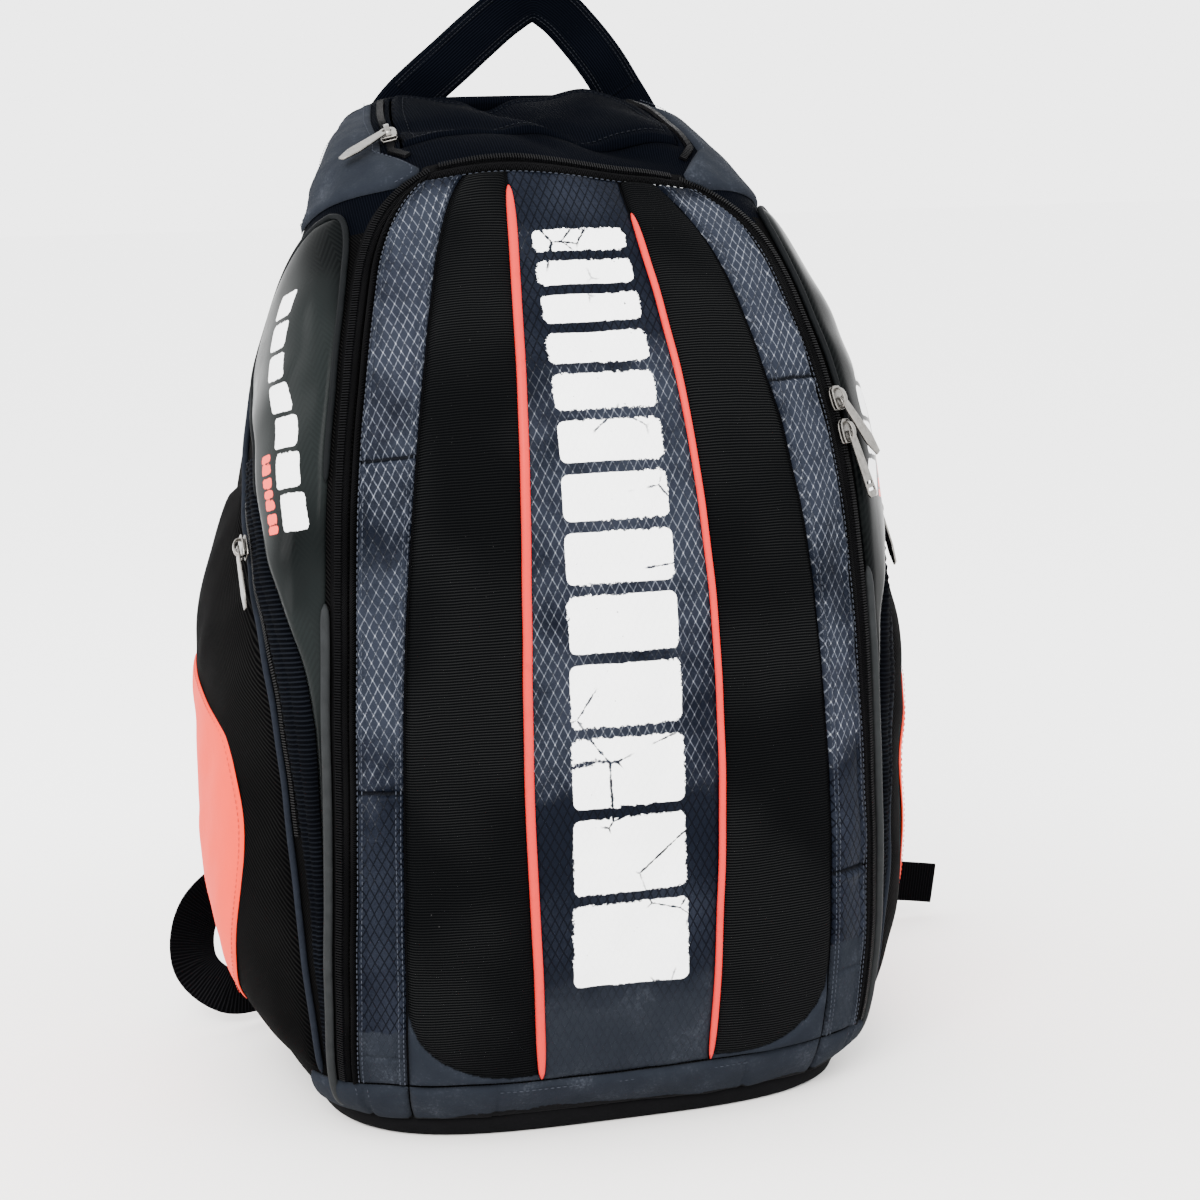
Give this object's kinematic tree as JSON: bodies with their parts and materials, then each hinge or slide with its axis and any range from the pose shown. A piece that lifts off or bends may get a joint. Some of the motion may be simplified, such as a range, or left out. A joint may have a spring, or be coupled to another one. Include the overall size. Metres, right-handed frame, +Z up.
{
  "type": "racket backpack",
  "caption": "Racket backpack with a zipped front lid, a zipped top flap, side pockets, piping, a grab handle and padded shoulder straps with adjusters.",
  "frame": {"origin": "centre of the underside of the base panel, on the floor", "axes": "+Z up, front face towards -Y, shoulder straps on the +Y side, +X to the right seen from the front"},
  "size_m": [0.4687, 0.3038, 0.56],
  "materials": {
    "black_fabric": "matt woven polyester",
    "base_fabric": "matt padded base cloth",
    "padding_fabric": "padded spacer mesh",
    "knit_fabric": "ribbed knit",
    "navy_fabric": "worn suede-like cloth",
    "ripstop": "diamond ripstop nylon, slight sheen",
    "ribbed_fabric": "horizontally ribbed cloth",
    "zip_tape": "woven zip tape",
    "webbing": "woven webbing",
    "coral_fabric": "smooth coated cloth",
    "coral_piping": "satin plastic piping",
    "glossy_vinyl": "glossy coated cloth",
    "buckle_plastic": "moulded acetal",
    "nickel": "worn nickel plate"
  },
  "bodies": {
    "root": {"main_shell": "black_fabric", "base_panel": "base_fabric", "divider": "padding_fabric", "back_panel": "padding_fabric", "back_yoke": "knit_fabric", "bottom_band": "navy_fabric", "front_zip_tape": "zip_tape", "corner_patch_left": "navy_fabric", "side_panel_left": "glossy_vinyl", "side_pocket_left": "black_fabric", "coral_panel_left": "coral_fabric", "side_piping_left": "navy_fabric", "shoulder_patch_left": "navy_fabric", "webbing_left": "webbing", "strap_anchor_left": "coral_fabric", "corner_patch_right": "navy_fabric", "side_panel_right": "glossy_vinyl", "side_pocket_right": "black_fabric", "coral_panel_right": "coral_fabric", "side_piping_right": "navy_fabric", "shoulder_patch_right": "navy_fabric", "webbing_right": "webbing", "strap_anchor_right": "coral_fabric"},
    "front_lid": {"lid_shell": "black_fabric", "centre_panel": "ripstop", "lid_zip_tape": "zip_tape", "ribbed_panel_left": "ribbed_fabric", "grey_band_left": "ripstop", "coral_piping_left": "coral_piping", "ribbed_panel_right": "ribbed_fabric", "grey_band_right": "ripstop", "coral_piping_right": "coral_piping"},
    "top_flap": {"top_flap": "knit_fabric"},
    "grab_handle": {"grab_handle": "webbing"},
    "shoulder_strap_left": {"shoulder_strap_left": "padding_fabric"},
    "strap_buckle_left": {"strap_buckle_left": "buckle_plastic", "webbing_tail_left": "webbing"},
    "shoulder_strap_right": {"shoulder_strap_right": "padding_fabric"},
    "strap_buckle_right": {"strap_buckle_right": "buckle_plastic", "webbing_tail_right": "webbing"},
    "front_upper_slider": {"front_upper_slider": "nickel"},
    "front_upper_pull": {"front_upper_pull": "nickel"},
    "front_lower_slider": {"front_lower_slider": "nickel"},
    "front_lower_pull": {"front_lower_pull": "nickel"},
    "main_slider": {"main_slider": "nickel"},
    "main_pull": {"main_pull": "nickel"},
    "pocket_left_slider": {"pocket_left_slider": "nickel"},
    "pocket_left_pull": {"pocket_left_pull": "nickel"},
    "pocket_right_slider": {"pocket_right_slider": "nickel"},
    "pocket_right_pull": {"pocket_right_pull": "nickel"}
  },
  "joints": [
    {"name": "front_lid_hinge", "type": "hinge", "parent": "root", "child": "front_lid", "pos_m": [0, -0.112, 0.031], "axis": [1, 0, 0], "range_deg": [0, 75]},
    {"name": "top_flap_hinge", "type": "hinge", "parent": "root", "child": "top_flap", "pos_m": [0, -0.00175, 0.46918], "axis": [1, 0, 0], "range_deg": [0, 100]},
    {"name": "grab_handle_hinge", "type": "hinge", "parent": "root", "child": "grab_handle", "pos_m": [0, 0.101, 0.491], "axis": [1, 0, 0], "range_deg": [-65, 10]},
    {"name": "shoulder_strap_left_hinge", "type": "hinge", "parent": "root", "child": "shoulder_strap_left", "pos_m": [-0.06, 0.124, 0.437], "axis": [1, 0, 0], "range_deg": [0, 30], "deforming": ["webbing_left"]},
    {"name": "strap_buckle_left_hinge", "type": "hinge", "parent": "shoulder_strap_left", "child": "strap_buckle_left", "pos_m": [-0.06, 0.1415, 0.1685], "axis": [1, 0, 0], "range_deg": [0, 40]},
    {"name": "shoulder_strap_right_hinge", "type": "hinge", "parent": "root", "child": "shoulder_strap_right", "pos_m": [0.06, 0.124, 0.437], "axis": [1, 0, 0], "range_deg": [0, 30], "deforming": ["webbing_right"]},
    {"name": "strap_buckle_right_hinge", "type": "hinge", "parent": "shoulder_strap_right", "child": "strap_buckle_right", "pos_m": [0.06, 0.1415, 0.1685], "axis": [1, 0, 0], "range_deg": [0, 40]},
    {"name": "front_upper_slider_run", "type": "hinge", "parent": "root", "child": "front_upper_slider", "pos_m": [-0.00553, 0.17937, 0.2337], "axis": [-0.9011, -0.4335, -0.0087], "range_deg": [0, 14]},
    {"name": "front_upper_pull_hinge", "type": "hinge", "parent": "front_upper_slider", "child": "front_upper_pull", "pos_m": [0.12246, -0.08616, 0.34591], "axis": [-0.6347, -0.6464, -0.4235], "range_deg": [0, 120]},
    {"name": "front_lower_slider_run", "type": "hinge", "parent": "root", "child": "front_lower_slider", "pos_m": [-0.00819, 0.45794, 0.19097], "axis": [0.9701, 0.2399, 0.0379], "range_deg": [0, 20]},
    {"name": "front_lower_pull_hinge", "type": "hinge", "parent": "front_lower_slider", "child": "front_lower_pull", "pos_m": [0.12497, -0.09107, 0.33015], "axis": [-0.7876, -0.6038, -0.1233], "range_deg": [0, 120]},
    {"name": "main_slider_run", "type": "hinge", "parent": "root", "child": "main_slider", "pos_m": [0.1296, 0.05993, 0.35521], "axis": [-0.5214, 0.31, -0.795], "range_deg": [0, 11.7]},
    {"name": "main_pull_hinge", "type": "hinge", "parent": "main_slider", "child": "main_pull", "pos_m": [-0.0755, 0.01223, 0.47769], "axis": [-0.5647, 0.811, 0.1527], "range_deg": [0, 120]},
    {"name": "pocket_left_slider_run", "type": "hinge", "parent": "root", "child": "pocket_left_slider", "pos_m": [-0.15375, 0.05388, 0.18728], "axis": [0.9975, 0.0418, 0.057], "range_deg": [0, 55]},
    {"name": "pocket_left_pull_hinge", "type": "hinge", "parent": "pocket_left_slider", "child": "pocket_left_pull", "pos_m": [-0.16334, -0.02976, 0.28279], "axis": [-0.0975, 0.7644, -0.6373], "range_deg": [0, 120]},
    {"name": "pocket_right_slider_run", "type": "hinge", "parent": "root", "child": "pocket_right_slider", "pos_m": [0.15375, 0.05388, 0.18728], "axis": [0.9975, -0.0418, -0.057], "range_deg": [0, 55]},
    {"name": "pocket_right_pull_hinge", "type": "hinge", "parent": "pocket_right_slider", "child": "pocket_right_pull", "pos_m": [0.16334, -0.02976, 0.28279], "axis": [-0.0975, -0.7644, 0.6373], "range_deg": [0, 120]}
  ]
}
